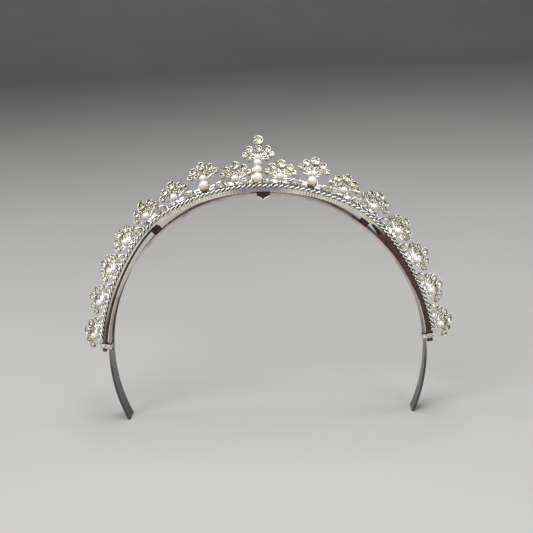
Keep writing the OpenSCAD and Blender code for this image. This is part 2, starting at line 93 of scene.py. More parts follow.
# Outer stones of a fan, as (across, up from the pearl, size)
FAN = ((-5.2, 3.2, 1.8), (-3.4, 5.4, 2.6), (0, 6.9, 3.2), (3.4, 5.4, 2.6), (5.2, 3.2, 1.8))
CENTRE_FAN = ((-5.3, 2.2, 1.9), (-3.5, 4.7, 2.6), (0, 5.0, 2.6), (3.5, 4.7, 2.6), (5.3, 2.2, 1.9))
INNER_STONE_D = 1.2
INNER_REACH = 3.95
CENTRE_INNER_REACH = 3.5
INNER_ANGLES = (-46, -16, 16, 46)
CENTRE_INNER_ANGLES = (-85, -52, 52, 85)
SHORT_RAYS = (-80, 80)
CENTRE_SHORT_RAYS = (-20, 20)
SHORT_RAY_LEN = 4.1
CLIP_SHIFT = 2.0
SETTING_BACK = -0.5
SETTING_FRONT = 0.9
SETTING_WALL = 0.3
SETTING_FLOOR = 0.36
GEM_DEPTH = 0.42
CLIP_T = 0.8

PLATE_LAP = 0.4
PLATE_IN = STRIP_W - PLATE_LAP
PLATE_OUT = PLATE_IN + PLATE_W
ORNAMENT_OUT = PLATE_OUT - STEM_INSET
HEADBAND_FRONT = -HEADBAND_DEPTH / 2
STRIP_FRONT = HEADBAND_FRONT - STRIP_PROUD
PLATE_FRONT = STRIP_FRONT + 1.2
PLATE_BACK = PLATE_FRONT + PLATE_T
ORNAMENT_Y = PLATE_BACK + 0.1
SMALL_GAP = 0.06
# Angles at which the side arcs of headband and band stop, past their last pieces
HEADBAND_END = 120
BAND_END = 100


def sin(a):
    return math.sin(math.radians(a))


def cos(a):
    return math.cos(math.radians(a))


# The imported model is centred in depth, so the front of the ties gives the shift
DEPTH_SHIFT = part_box("binding_left")[0].y / MM - (STRIP_FRONT - SMALL_GAP - WIRE_D)

arc_shift = (ARCH_RISE - ARCH_HALF_W) / (sin(ARC_JOIN) + cos(ARC_JOIN) - 1)
SIDE_R = ARCH_HALF_W + arc_shift * sin(ARC_JOIN)
TOP_R = SIDE_R - arc_shift
ARCH_TOP = LEG_DROP + ARCH_RISE


def next_arc(arc, radius, to):
    """The arc (x, z, radius, from, to) that goes on from an arc without a corner."""
    x, z, r, _, a = arc
    return (x + (r - radius) * sin(a), z + (r - radius) * cos(a), radius, a, to)


HEADBAND = [(0, ARCH_TOP - TOP_R, TOP_R, 0, ARC_JOIN)]
HEADBAND.append(next_arc(HEADBAND[0], SIDE_R, HEADBAND_END))
BAND = [(0, ARCH_TOP + HEADBAND_T + STRIP_GAP - BAND_TOP_R, BAND_TOP_R, 0, SHOULDER_FROM)]
BAND.append(next_arc(BAND[0], BAND_SHOULDER_R, SHOULDER_TO))
BAND.append(next_arc(BAND[1], BAND_SIDE_R, BAND_END))


def curve_point(curve, a, off, y):
    """A point in mm on either half of a curve; a negative angle is on the left."""
    side = -1 if a < 0 else 1
    x, z, r = next(arc for arc in curve if abs(a) <= arc[4])[:3]
    return Vector((side * (x + (r + off) * sin(abs(a))), y + DEPTH_SHIFT, z + (r + off) * cos(a)))


def angle_at(s):
    """The band's angle at a distance s from its middle, measured along the ornaments' feet."""
    for _, _, r, a0, a1 in BAND:
        run = (r + ORNAMENT_OUT) * math.radians(a1 - a0)
        if s <= run or a1 == BAND_END:
            return a0 + math.degrees(s / (r + ORNAMENT_OUT))
        s -= run


def ornament_s(i):
    return FIRST_STEP + NEXT_STEP * (i - 1) + STEP_GROWTH * (i - 1) ** 2 if i else 0.0


def scallop_s(i):
    return (ornament_s(i - 1) + ornament_s(i)) / 2


def on_curve(curve, a, off, side=1):
    """Returns a map from local mm (x along, y back, z outwards) to the model's mm."""
    base = curve_point(curve, a, off, 0)

    def place(p):
        x = base.x + p.x * cos(a) + p.z * sin(a)
        z = base.z - p.x * sin(a) + p.z * cos(a)
        return Vector((side * x, base.y + p.y, z))
    return place


def on_ornament(i, side):
    """Returns a map from an ornament's plane (x across, y up the stem, z out of its face)."""
    outer = on_curve(BAND, angle_at(ornament_s(i)), ORNAMENT_OUT, side)
    t = 90 - LEAN

    def place(p):
        back = p.y * cos(t) - p.z * sin(t) + ORNAMENT_Y
        return outer(Vector((p.x, back, p.y * sin(t) + p.z * cos(t))))
    return place


# Mesh tools
class Shape:
    """The faces of one piece, gathered in millimetres."""

    def __init__(self, place=None):
        self.place = place or (lambda p: p)
        self.verts, self.faces, self.mats = [], [], []
        self.mat = 0

    def add(self, verts, faces, place=None, mats=None):
        base = len(self.verts)
        put = place or self.place
        self.verts += [put(Vector(v)) for v in verts]
        self.faces += [[base + k for k in f] for f in faces]
        self.mats += mats or [self.mat] * len(faces)

    def skin(self, rings, cap=True, closed=False, place=None, mat_at=None):
        """Joins rings of equal size into a tube; closed joins the last ring to the first."""
        n = len(rings[0])
        verts = [v for ring in rings for v in ring]
        faces = []
        last = len(rings) if closed else len(rings) - 1
        for k in range(last):
            a, b = k * n, ((k + 1) % len(rings)) * n
            faces += [(a + j, a + (j + 1) % n, b + (j + 1) % n, b + j) for j in range(n)]
        mats = [mat_at(k, j) if mat_at else self.mat for k in range(last) for j in range(n)]
        if cap and not closed:
            faces += [tuple(range(n)), tuple(range((len(rings) - 1) * n, len(rings) * n))]
            mats += [self.mat] * 2
        self.add(verts, faces, place, mats)

    def build(self, name, materials, nodes, sharp=35, merge=0.0):
        mesh = bpy.data.meshes.new(name)
        mesh.from_pydata([v * MM for v in self.verts], [], self.faces)
        for m in materials:
            mesh.materials.append(m)
        mesh.polygons.foreach_set("material_index", self.mats)
        bm = bmesh.new()
        bm.from_mesh(mesh)
        if merge:
            bmesh.ops.remove_doubles(bm, verts=bm.verts, dist=merge * MM)
        bmesh.ops.recalc_face_normals(bm, faces=bm.faces)
        bm.to_mesh(mesh)
        bm.free()
        mesh.polygons.foreach_set("use_smooth", [True] * len(mesh.polygons))
        mesh.set_sharp_from_angle(angle=math.radians(sharp))
        obj = bpy.data.objects.new(name, mesh)
        bpy.context.scene.collection.objects.link(obj)
        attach(obj, "root")
        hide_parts(*nodes)
        return obj


TUBE_TIP = 0.6
TUBE_TIP_R = 0.5


def tube(shape, points, radii, sides=8, up=(0, 0, 1), flat=1.0):
    """A wire along points with rounded ends; flat squeezes it along up."""
    pts = [Vector(p) for p in points]
    if not isinstance(radii, (list, tuple)):
        radii = [radii] * len(pts)
    up = Vector(up)
    head = (pts[0] - pts[1]).normalized()
    tail = (pts[-1] - pts[-2]).normalized()
    pts = [pts[0] + head * radii[0] * TUBE_TIP] + pts + [pts[-1] + tail * radii[-1] * TUBE_TIP]
    radii = [radii[0] * TUBE_TIP_R] + list(radii) + [radii[-1] * TUBE_TIP_R]
    rings = []
    for k, p in enumerate(pts):
        run = (pts[min(k + 1, len(pts) - 1)] - pts[max(k - 1, 0)]).normalized()
        across = run.cross(up)
        if across.length < 1e-6:
            across = run.cross(Vector((1, 0, 0)))
        across.normalize()
        rise = across.cross(run)
        rings.append([p + across * (radii[k] * math.cos(2 * math.pi * j / sides))
                      + rise * (radii[k] * flat * math.sin(2 * math.pi * j / sides))
                      for j in range(sides)])
    shape.skin(rings)


def lathe(shape, centre, profile, segs=24, lobes=0, lobe=0.0, place=None, mat_at=None):
    """Turns a profile of (radius, height) round z at centre; lobes waves its radius."""
    c = Vector(centre)
    rings = []
    for r, z in profile:
        ring = []
        for j in range(segs):
            t = 2 * math.pi * j / segs
            rr = r * (1 + lobe * math.cos(lobes * t))
            ring.append(c + Vector((rr * math.cos(t), rr * math.sin(t), z)))
        rings.append(ring)
    shape.skin(rings, closed=True, place=place, mat_at=mat_at)


# Points across a leaf, as shares of its half width, and how much narrower its underside is
LEAF_ACROSS = (-1, -0.55, -0.12, 0, 0.12, 0.55, 1)
LEAF_UNDER = 0.92
LEAF_CURVE = 1.4


def leaf(shape, points, half_widths, rise, thick):
    """A leaf with a ridged back along a centreline."""
    pts = [Vector(p) for p in points]
    up = Vector((0, 0, 1))
    rings = []
    for k, p in enumerate(pts):
        run = (pts[min(k + 1, len(pts) - 1)] - pts[max(k - 1, 0)]).normalized()
        across = run.cross(up).normalized()
        w = half_widths[k]
        h = rise * min(1.0, w / max(half_widths))
        top = [p + across * (w * u) + up * (h * (1 - abs(u) ** LEAF_CURVE)) for u in LEAF_ACROSS]
        low = [p + across * (w * u * LEAF_UNDER) - up * thick for u in reversed(LEAF_ACROSS)]
        rings.append(top + low)
    shape.skin(rings)


def bezier(a, b, c, d, n):
    """n + 1 points on a cubic curve."""
    a, b, c, d = (Vector(v) for v in (a, b, c, d))
    return [a * (1 - t) ** 3 + b * 3 * t * (1 - t) ** 2 + c * 3 * t * t * (1 - t) + d * t ** 3
            for t in (k / n for k in range(n + 1))]


BALL_WAVE = 1.3


def ball(shape, centre, radius, detail, squash=1.0, rough=0.0, seed=0.0):
    """A ball, or a pearl that is a little flat and uneven."""
    bm = bmesh.new()
    bmesh.ops.create_icosphere(bm, subdivisions=detail, radius=1.0)
    c = Vector(centre)
    verts = []
    for v in bm.verts:
        n = v.co.normalized()
        r = radius * (1 + rough * noise.noise(n * BALL_WAVE + Vector((seed, seed * 0.7, 0))))
        verts.append(c + Vector((n.x * r, n.y * r, n.z * r * squash)))
    faces = [[v.index for v in f.verts] for f in bm.faces]
    bm.free()
    shape.add(verts, faces)


# Rings of a stone's corners, as (share of its radius, height as a share of its size)
GEM_TABLE = (0.56, 0.16)
GEM_CROWN = (0.80, 0.115)
GEM_PAVILION = (0.55, -0.23)
# Heights of its girdle: at the kites, between them, and below
GEM_GIRDLE = (0.022, 0.012, -0.02)
# Faces that look back by more than this carry the foil
GEM_FOIL_FROM = -0.1


def gem(shape, centre, d, turn=0.0, place=None):
    """A cut stone: table, star, kite and girdle facets over a pointed pavilion."""
    pts = []

    def corner(ring, a):
        pts.append((ring[0] * d / 2 * cos(a), ring[0] * d / 2 * sin(a), ring[1] * d))

    for k in range(8):
        a = 45 * k + turn
        corner(GEM_TABLE, a)
        corner(GEM_CROWN, a + 22.5)
        corner(GEM_PAVILION, a + 22.5)
    for k in range(16):
        corner((1, GEM_GIRDLE[k % 2]), 22.5 * k + turn)
        corner((1, GEM_GIRDLE[2]), 22.5 * k + turn)
    corner((0, -GEM_DEPTH), 0)
    bm = bmesh.new()
    for p in pts:
        bm.verts.new(Vector(centre) + Vector(p))
    bmesh.ops.convex_hull(bm, input=bm.verts)
    bmesh.ops.dissolve_limit(bm, angle_limit=math.radians(0.8), verts=bm.verts, edges=bm.edges)
    bm.verts.index_update()
    bm.normal_update()
    foil = [1 if f.normal.z < GEM_FOIL_FROM else 0 for f in bm.faces]
    faces = [[v.index for v in f.verts] for f in bm.faces]
    shape.add([v.co.copy() for v in bm.verts], faces, place, foil)
    bm.free()


# Materials
def new_material(name):
    mat = bpy.data.materials.new(name)
    mat.use_nodes = True
    nt = mat.node_tree
    nt.nodes.clear()
    out = nt.nodes.new("ShaderNodeOutputMaterial")
    shader = nt.nodes.new("ShaderNodeBsdfPrincipled")
    nt.links.new(shader.outputs[0], out.inputs[0])
    coord = nt.nodes.new("ShaderNodeTexCoord")
    return mat, nt, shader, coord.outputs["Object"]


def noise_node(nt, coord, scale, detail=3.0, rough=0.5):
    n = nt.nodes.new("ShaderNodeTexNoise")
    n.inputs["Scale"].default_value = scale
    n.inputs["Detail"].default_value = detail
    n.inputs["Roughness"].default_value = rough
    nt.links.new(coord, n.inputs["Vector"])
    return n.outputs[0]


def ramp(nt, value, stops):
    """Colours along a value; stops are (position, colour)."""
    r = nt.nodes.new("ShaderNodeValToRGB")
    el = r.color_ramp.elements
    el[0].position, el[0].color = stops[0][0], (*stops[0][1], 1)
    el[1].position, el[1].color = stops[-1][0], (*stops[-1][1], 1)
    for pos, col in stops[1:-1]:
        e = el.new(pos)
        e.color = (*col, 1)
    nt.links.new(value, r.inputs[0])
    return r.outputs[0]


def spread(nt, value, low, high):
    """A value from 0 to 1 turned into one from low to high."""
    m = nt.nodes.new("ShaderNodeMapRange")
    m.inputs["To Min"].default_value = low
    m.inputs["To Max"].default_value = high
    nt.links.new(value, m.inputs["Value"])
    return m.outputs[0]


def bump(nt, shader, height, distance):
    b = nt.nodes.new("ShaderNodeBump")
    b.inputs["Distance"].default_value = distance
    nt.links.new(height, b.inputs["Height"])
    nt.links.new(b.outputs[0], shader.inputs["Normal"])


def blend(nt, factor, a, b):
    """Mixes two colours; each may be a socket or a fixed colour."""
    mix = nt.nodes.new("ShaderNodeMix")
    mix.data_type = "RGBA"
    nt.links.new(factor, mix.inputs[0])
    for socket, value in ((mix.inputs[6], a), (mix.inputs[7], b)):
        if isinstance(value, tuple):
            socket.default_value = (*value, 1)
        else:
            nt.links.new(value, socket)
    return mix.outputs[2]


def up_facing(nt, low, high):
    """0 where the surface looks down to 1 where it looks up."""
    geo = nt.nodes.new("ShaderNodeNewGeometry")
    parts = nt.nodes.new("ShaderNodeSeparateXYZ")
    nt.links.new(geo.outputs["Normal"], parts.inputs[0])
    m = nt.nodes.new("ShaderNodeMapRange")
    m.inputs["From Min"].default_value = low
    m.inputs["From Max"].default_value = high
    nt.links.new(parts.outputs["Z"], m.inputs["Value"])
    return m.outputs[0]


# Down to the right across the arch, for the strip's painted shade, and how far the arch's middle lies before
# this measure's zero, in mm
RIGHT_DOWN = (0.6, 0.0, -0.8)
RIGHT_SHIFT = 31.0


def reach(nt, coord, axis, low_mm, high_mm):
    """0 at low_mm to 1 at high_mm along "height", the distance from the "middle", or "right" and down."""
    parts = nt.nodes.new("ShaderNodeSeparateXYZ")
    nt.links.new(coord, parts.inputs[0])
    value = parts.outputs["Z"]
    if axis == "middle":
        m = nt.nodes.new("ShaderNodeMath")
        m.operation = "ABSOLUTE"
        nt.links.new(parts.outputs["X"], m.inputs[0])
        value = m.outputs[0]
    if axis == "right":
        m = nt.nodes.new("ShaderNodeVectorMath")
        m.operation = "DOT_PRODUCT"
        m.inputs[1].default_value = RIGHT_DOWN
        nt.links.new(coord, m.inputs[0])
        shift = nt.nodes.new("ShaderNodeMath")
        shift.operation = "ADD"
        shift.inputs[1].default_value = RIGHT_SHIFT * MM
        nt.links.new(m.outputs["Value"], shift.inputs[0])
        value = shift.outputs[0]
    m = nt.nodes.new("ShaderNodeMapRange")
    m.inputs["From Min"].default_value = low_mm * MM
    m.inputs["From Max"].default_value = high_mm * MM
    nt.links.new(value, m.inputs["Value"])
    return m.outputs[0]


def metal(name, clean, dull, rough, bump_mm=0.010, patch=260.0, grain=2600.0, shade_and_wrap=(), metallic=1.0):
    """Metal with tarnish in soft patches, uneven polish and fine hand-finishing marks.

    Each zone row is (axis, from mm, to mm, colour): the colour covers the side of from; these rows paint
    shade on the strip and the rail, and give the legs the dark of their wrap."""
    mat, nt, shader, coord = new_material(name)
    patches = noise_node(nt, coord, patch, 4.0, 0.6)
    shader.inputs["Metallic"].default_value = metallic
    colour = ramp(nt, patches, ((0.36, dull), (0.50, clean)))
    for axis, low, high, shade in shade_and_wrap:
        colour = blend(nt, reach(nt, coord, axis, low, high), shade, colour)
    nt.links.new(colour, shader.inputs["Base Color"])
    marks = noise_node(nt, coord, grain, 3.0, 0.6)
    nt.links.new(spread(nt, marks, rough[0], rough[1]), shader.inputs["Roughness"])
    bump(nt, shader, noise_node(nt, coord, grain * 0.6, 3.0, 0.6), bump_mm * MM)
    return mat


# Painted shade as (axis, from, to, colour): brown low on the strip and down its right, and a grey painted
# dark reflection near the clip
BROWN = (("height", 40.0, 58.0, (0.22, 0.14, 0.105)), ("right", 1.0, -5.0, (0.092, 0.044, 0.036)),
         ("middle", 6.0, 14.0, (0.40, 0.37, 0.40)))
LEGS = (("height", 22.0, 34.0, (0.060, 0.060, 0.068)),)
# The rail: painted shade growing from 66 mm down to 34 mm, then the dark of the wrapped legs below
RAIL_SHADE_AND_WRAP = (("height", 34.0, 66.0, (0.40, 0.34, 0.30)), ("height", 22.0, 34.0, (0.11, 0.105, 0.11)))

# Each metal as its name, clean colour, tarnished colour and range of roughness
bright = metal("bright_silver", (0.95, 0.935, 0.89), (0.78, 0.75, 0.67), (0.08, 0.24))
setting_metal = metal("setting_champagne", (0.82, 0.785, 0.68), (0.52, 0.48, 0.38), (0.14, 0.30),
                      patch=420.0)
# Painted shade for the settings' side walls
wall_shade_metal = metal("setting_walls_painted_shade", (0.24, 0.225, 0.185), (0.11, 0.10, 0.085), (0.22, 0.40), patch=420.0)
cream = metal("cream_gilt", (0.93, 0.84, 0.62), (0.72, 0.58, 0.34), (0.12, 0.28))
strip_metal = metal("strip_silver_and_shade", (0.96, 0.93, 0.82), (0.84, 0.79, 0.66), (0.30, 0.48), shade_and_wrap=BROWN,
                    metallic=0.55)
groove_shade_metal = metal("strip_grooves_painted_shade", (0.76, 0.72, 0.60), (0.58, 0.52, 0.41), (0.30, 0.50), shade_and_wrap=BROWN,
                     metallic=0.55)
brown_shade_metal = metal("strip_brown_painted_shade", (0.110, 0.052, 0.042), (0.070, 0.034, 0.029), (0.34, 0.52),
                    metallic=0.70)
under_shade_metal = metal("strip_under_painted_shade", (0.085, 0.070, 0.066), (0.045, 0.036, 0.036), (0.30, 0.50))
# The headband's front faces get a painted highlight, and the rest of it painted shade
rail_lit_metal = metal("rail_painted_highlight_and_shade", (0.80, 0.66, 0.60), (0.56, 0.43, 0.39), (0.26, 0.40), patch=120.0,
                   shade_and_wrap=RAIL_SHADE_AND_WRAP)
band_shade_metal = metal("headband_painted_shade", (0.22, 0.19, 0.19), (0.12, 0.10, 0.10), (0.20, 0.38), patch=120.0,
                   shade_and_wrap=LEGS)
# Painted shade: the clip and the brackets are near black
clip_shade_metal = metal("clip_painted_shade", (0.085, 0.052, 0.058), (0.035, 0.022, 0.028), (0.26, 0.46), patch=500.0)
shade_metal = metal("recess_painted_shade", (0.20, 0.185, 0.21), (0.07, 0.06, 0.085), (0.24, 0.45), patch=500.0)
wire_metal = metal("tie_wire", (0.66, 0.63, 0.58), (0.36, 0.32, 0.27), (0.18, 0.36), patch=700.0)
tongue_edge_highlight = metal("tongue_edge_highlight", (0.95, 0.74, 0.82), (0.62, 0.42, 0.52), (0.20, 0.36), patch=500.0)


def make_pearl():
    mat, nt, shader, coord = new_material("pearl_nacre")
    clouds = noise_node(nt, coord, 320.0, 3.0, 0.5)
    skin = ramp(nt, clouds, ((0.30, (0.91, 0.87, 0.78)), (0.50, (0.96, 0.95, 0.90)),
                             (0.72, (0.95, 0.92, 0.86))))
    # Painted shade: the pearl's skin turns tan where it faces down
    skin = blend(nt, up_facing(nt, -0.85, 0.50), (0.56, 0.44, 0.32), skin)
    nt.links.new(skin, shader.inputs["Base Color"])
    shader.inputs["Roughness"].default_value = 0.25
    shader.inputs["IOR"].default_value = 1.55
    shader.inputs["Coat Weight"].default_value = 0.7
    shader.inputs["Coat Roughness"].default_value = 0.08
    shader.inputs["Sheen Weight"].default_value = 0.1
    bump(nt, shader, noise_node(nt, coord, 900.0, 2.0, 0.5), 0.004 * MM)
    return mat


def make_stone():
    mat, nt, shader, coord = new_material("cut_stone_clear")
    clouds = noise_node(nt, coord, 420.0, 2.0, 0.5)
    tint = ramp(nt, clouds, ((0.35, (0.95, 0.92, 0.82)), (0.65, (0.99, 0.985, 0.95))))
    nt.links.new(tint, shader.inputs["Base Color"])
    shader.inputs["Roughness"].default_value = 0.01
    shader.inputs["IOR"].default_value = 1.62
    shader.inputs["Transmission Weight"].default_value = 1.0
    return mat


def make_foil():
    mat, nt, shader, coord = new_material("stone_foil")
    clouds = noise_node(nt, coord, 500.0, 3.0, 0.5)
    shader.inputs["Metallic"].default_value = 1.0
    tint = ramp(nt, clouds, ((0.34, (0.68, 0.64, 0.50)), (0.54, (0.98, 0.97, 0.91))))
    nt.links.new(tint, shader.inputs["Base Color"])
    nt.links.new(spread(nt, clouds, 0.06, 0.20), shader.inputs["Roughness"])
    return mat


pearl_mat = make_pearl()
stone_mat = make_stone()
foil_mat = make_foil()


# Ornaments
SEAT_BELOW_FRONT = 0.2
PEARL_CLEAR = 0.1


def gem_seat(size):
    """Height of a stone's girdle over the middle of its ornament's plane."""
    return max(SETTING_FRONT - SEAT_BELOW_FRONT, SETTING_BACK + SETTING_FLOOR + GEM_DEPTH * size)


def pearl_w(size):
    """Height of a pearl's middle over the same plane."""
    return STEM_T / 2 + size / 2 + PEARL_CLEAR


def inner_row(angles, reach_mm):
    """The small stones between pearl and outer stones, as rows of a fan."""
    return tuple((reach_mm * sin(a), reach_mm * cos(a), INNER_STONE_D) for a in angles)


FAN_INNER = inner_row(INNER_ANGLES, INNER_REACH)
CENTRE_INNER = inner_row(CENTRE_INNER_ANGLES, CENTRE_INNER_REACH)


# An ornament's materials
SILVER, GILT, SETTING, WALL = range(4)
ORNAMENT_METALS = (bright, cream, setting_metal, wall_shade_metal)
# The ring of a setting's profile that is its side wall, which takes painted shade so the stone shows a dark
# outline
WALL_RING = 1
BIG_STONE = 2.2


def collet(shape, x, y, d, turn=0.0, gilt=False):
    """A tapered setting with a rim that laps the stone's edge, and small claws over the rim."""
    r = d / 2
    lip = gem_seat(d) - 0.06
    outer = r + SETTING_WALL
    shape.mat = SETTING
    lathe(shape, (x, y, 0), (
        (outer * 0.74, SETTING_BACK), (outer * 0.80, SETTING_BACK + 0.05), (outer * 0.96, lip - 0.35),
        (outer, lip - 0.05), (outer - 0.03, lip + 0.14),
        (outer - 0.12, lip + 0.26), (outer - 0.22, lip + 0.28),
        (r - 0.05, lip + 0.22), (r + 0.05, lip + 0.10), (r + 0.05, lip - 0.25),
        (r * 0.55, SETTING_BACK + 0.34), (0.02, SETTING_BACK + 0.30), (0.02, SETTING_BACK)), segs=32,
        mat_at=lambda k, j: WALL if k == WALL_RING else SETTING)
    grains = 8 if d > BIG_STONE else 6
    for k in range(grains):
        a = 360 * k / grains + turn
        ca, sa = cos(a), sin(a)
        shape.mat = GILT if gilt and ca > 0.2 and sa > 0.5 else SETTING
        tube(shape, [(x + outer * 0.96 * ca, y + outer * 0.96 * sa, lip - 0.45),
                     (x + outer * ca, y + outer * sa, lip + 0.14),
                     (x + (r + 0.08) * ca, y + (r + 0.08) * sa, lip + 0.29),
                     (x + (r - 0.12) * ca, y + (r - 0.12) * sa, lip + 0.29)],
             [0.09, 0.11, 0.11, 0.08], sides=6)
    shape.mat = SILVER


RAY_PROUD = 0.22
RAY_SHARES = (0, 0.2, 0.4, 0.6, 0.8, 1)


def ray(shape, start, end, r0, r1):
    """A slim bar that swells in the middle and stands a little proud of the plane."""
    a, b = Vector(start), Vector(end)
    pts = [a.lerp(b, t) + Vector((0, 0, RAY_PROUD * math.sin(math.pi * t))) for t in RAY_SHARES]
    tube(shape, pts, [r0 * 0.8, r0, r0, (r0 + r1) / 2, r1, r1], sides=10, flat=1.15)


OUTER_RAY_R = 0.36
INNER_RAY_R = 0.28
SHORT_RAY_TIP_R = 0.18
TIP_BALL_R = 0.25
JOIN_R = 0.26
# The lobed hub under a fan's pearl, as (radius, height)
HUB = ((0.02, -0.38), (1.05, -0.38), (1.15, -0.2), (1.0, 0.12), (0.7, 0.3), (0.02, 0.36))


def fan(shape, rows, inner, short_rays, v, turn=0.0, gilt=-1):
    """The settings of a fan round the height v, their rays and hub; gilt is the setting with gold left."""
    for k, (x, up, d) in enumerate(rows + inner):
        collet(shape, x, v + up, d, turn + 20, gilt=k == gilt)
        run = Vector((x, up, 0)).normalized()
        end = Vector((x, v + up, 0)) - run * (d / 2 + SETTING_WALL * 0.4)
        thick = OUTER_RAY_R if k < len(rows) else INNER_RAY_R
        ray(shape, (0, v, 0.0), (end.x, end.y, 0.12), thick, thick * 0.8)
    for (x0, u0, _), (x1, u1, _) in zip(rows, rows[1:]):
        tube(shape, [(x0, v + u0, -0.1), (x1, v + u1, -0.1)], JOIN_R)
    for a in short_rays:
        tip = Vector((SHORT_RAY_LEN * sin(a), v + SHORT_RAY_LEN * cos(a), 0.05))
        root = Vector((0.5 * sin(a), v + 0.5 * cos(a), 0.0))
        ray(shape, root, tip, INNER_RAY_R, SHORT_RAY_TIP_R)
        ball(shape, tip, TIP_BALL_R, detail=2)
    lathe(shape, (0, v, 0), HUB, segs=24, lobes=12, lobe=0.04)


CUP_CLEAR = 0.09
BEZEL_WALL = 0.3


def pearl_seat(shape, size, v, wide):
    """Petalled cup under a pearl, or a thin bezel with a lip round a large one."""
    w = pearl_w(size)
    r = size / 2 + CUP_CLEAR
    if wide:
        outer = r + BEZEL_WALL
        lathe(shape, (0, v, 0), (
            (outer * 0.86, -STEM_T / 2), (outer * 0.93, -0.1), (outer, w - 0.45), (outer - 0.02, w - 0.16),
            (outer - 0.1, w - 0.1), (r + 0.03, w - 0.14), (r + 0.02, w - 0.4), (r * 0.72, w - r * 0.8),
            (r * 0.3, w - r * 1.02), (0.02, w - r * 1.04), (0.02, -STEM_T / 2)), segs=40)
    else:
        c = size * 0.36
        lathe(shape, (0, v, 0), (
            (c * 0.9, -STEM_T / 2), (c * 0.85, 0.1), (c, w - size * 0.28), (c * 1.02, w - size * 0.22),
            (c * 0.9, w - size * 0.3), (c * 0.4, w - r * 0.97), (0.02, w - r * 1.02), (0.02, -STEM_T / 2)),
            segs=32, lobes=8, lobe=0.05)


WING_STEPS = 8
# The leaves beside a foot, as (reach across, height, half width, place above the plane)
WINGS = ((3.6, 1.9, 0.40, 0.0), (3.3, 0.9, 0.36, 0.05))
SECOND_WINGS = ((5.2, 2.7, 0.46, 0.0), (4.0, 1.3, 0.42, 0.05))
CENTRE_WINGS = ((3.4, 2.0, 0.42, 0.0), (3.1, 0.9, 0.38, 0.05))
FOOT_W = 1.3
CENTRE_FOOT_W = 1.7
# Settings that keep some gold, by ornament and side
GILT_SETTINGS = {(2, 1): 1, (8, -1): 3, (7, -1): 2}


def foot(shape, width, v, wings):
    """Shield-shaped foot with a raised rib, and two leaves that spread over the band."""
    leaf(shape, [(0, -0.75, 0), (0, -0.2, 0), (0, v * 0.45, 0), (0, v * 0.8, 0), (0, v + width * 0.7, 0)],
         [width * 0.66, width * 0.72, width * 0.62, width * 0.86, width * 0.2], 0.28, STEM_T / 2 - 0.02)
    for side in (-1, 1):
        for across, lift, wide, z in wings:
            pts = bezier((side * 0.4, 0.3, 0.05), (side * across * 0.35, lift, 0.25),
                         (side * across * 0.7, lift * 1.25, 0.25), (side * across, lift * 0.85, 0.05),
                         WING_STEPS)
            widths = [wide * (0.25 + 0.75 * math.sin(math.pi * (0.12 + 0.84 * k / WING_STEPS)) ** 0.8)
                      for k in range(WING_STEPS)] + [0.05]
            leaf(shape, [p + Vector((0, 0, z)) for p in pts], widths, 0.2, 0.26)


def palmette(i, side_name, side):
    shape = Shape(on_ornament(i, side))
    second = i == 2
    v = SECOND_LOW_V + SECOND_STEP if second else PEARL_V
    low_v = SECOND_LOW_V if second else PEARL_V
    foot(shape, FOOT_W, low_v, SECOND_WINGS if second else WINGS)
    fan(shape, FAN, FAN_INNER, SHORT_RAYS, v, turn=7 * i, gilt=GILT_SETTINGS.get((i, side), -1))
    if second:
        tube(shape, [(-0.45, low_v, 0), (-0.4, v, 0)], 0.36)
        tube(shape, [(0.45, low_v, 0), (0.4, v, 0)], 0.36)
        shape.mat = GILT
        pearl_seat(shape, SECOND_PEARLS_D[0], low_v, True)
        shape.mat = SILVER
        pearl_seat(shape, SECOND_PEARLS_D[1], v, False)
    else:
        pearl_seat(shape, PEARL_D, v, False)
    name = f"palmette_{side_name}_{i}"
    shape.build(name + "_dressed", ORNAMENT_METALS, [name])


def palmette_centre():
    shape = Shape(on_ornament(0, 1))
    v = CENTRE_PEARLS_V[3]
    foot(shape, CENTRE_FOOT_W, CENTRE_PEARLS_V[0], CENTRE_WINGS)
    for x in (-0.95, -0.35, 0.35, 0.95):
        tube(shape, [(x, 0.5, -0.05), (x * 0.95, 6, 0.0), (x * 0.6, v, -0.05)], [0.34, 0.3, 0.26])
    for k in range(4):
        shape.mat = GILT if k < 2 else SILVER
        pearl_seat(shape, CENTRE_PEARLS_D[k], CENTRE_PEARLS_V[k], k < 2)
    shape.mat = SILVER
    fan(shape, CENTRE_FAN, CENTRE_INNER, CENTRE_SHORT_RAYS, v, turn=5)
    collet(shape, 0, v + FINIAL_V, FINIAL_D, 12, gilt=True)
    for x in (-0.32, 0.32):
        tube(shape, [(x, v + 6.0, 0.1), (x * 1.3, v + FINIAL_V - 2.0, 0.1)], 0.17)
    tube(shape, [(0, v, -0.1), (0, v + FINIAL_V, -0.1)], 0.3)
    shape.build("palmette_centre_dressed", ORNAMENT_METALS, ["palmette_centre"])


for side_name, side in SIDES:
    for i in range(1, SIDE_COUNT + 1):
        palmette(i, side_name, side)
palmette_centre()


# Pearls
PEARL_SQUASH = 0.985
PEARL_UNEVEN = 0.02
# Angles from which an edge stays sharp: never on a pearl, always on a stone
ROUND = 180
FACETED = 1


def pearl_piece(name, i, side, size, v, seed):
    shape = Shape(on_ornament(i, side))
    ball(shape, (0, v, pearl_w(size)), size / 2, 4, PEARL_SQUASH, PEARL_UNEVEN, seed)
    shape.build(name + "_nacre", [pearl_mat], [name], sharp=ROUND)


for side_name, side in SIDES:
    for i in range(1, SIDE_COUNT + 1):
        big = i == 2
        pearl_piece(f"pearl_{side_name}_{i}", i, side, SECOND_PEARLS_D[0] if big else PEARL_D,
                    SECOND_LOW_V if big else PEARL_V, i * 1.7 + side)
    pearl_piece(f"pearl_{side_name}_2_top", 2, side, SECOND_PEARLS_D[1],
                SECOND_LOW_V + SECOND_STEP, 3.3 * side)
for k in range(4):
    pearl_piece(f"pearl_centre_{k + 1}", 0, 1, CENTRE_PEARLS_D[k], CENTRE_PEARLS_V[k], 9.1 + k)


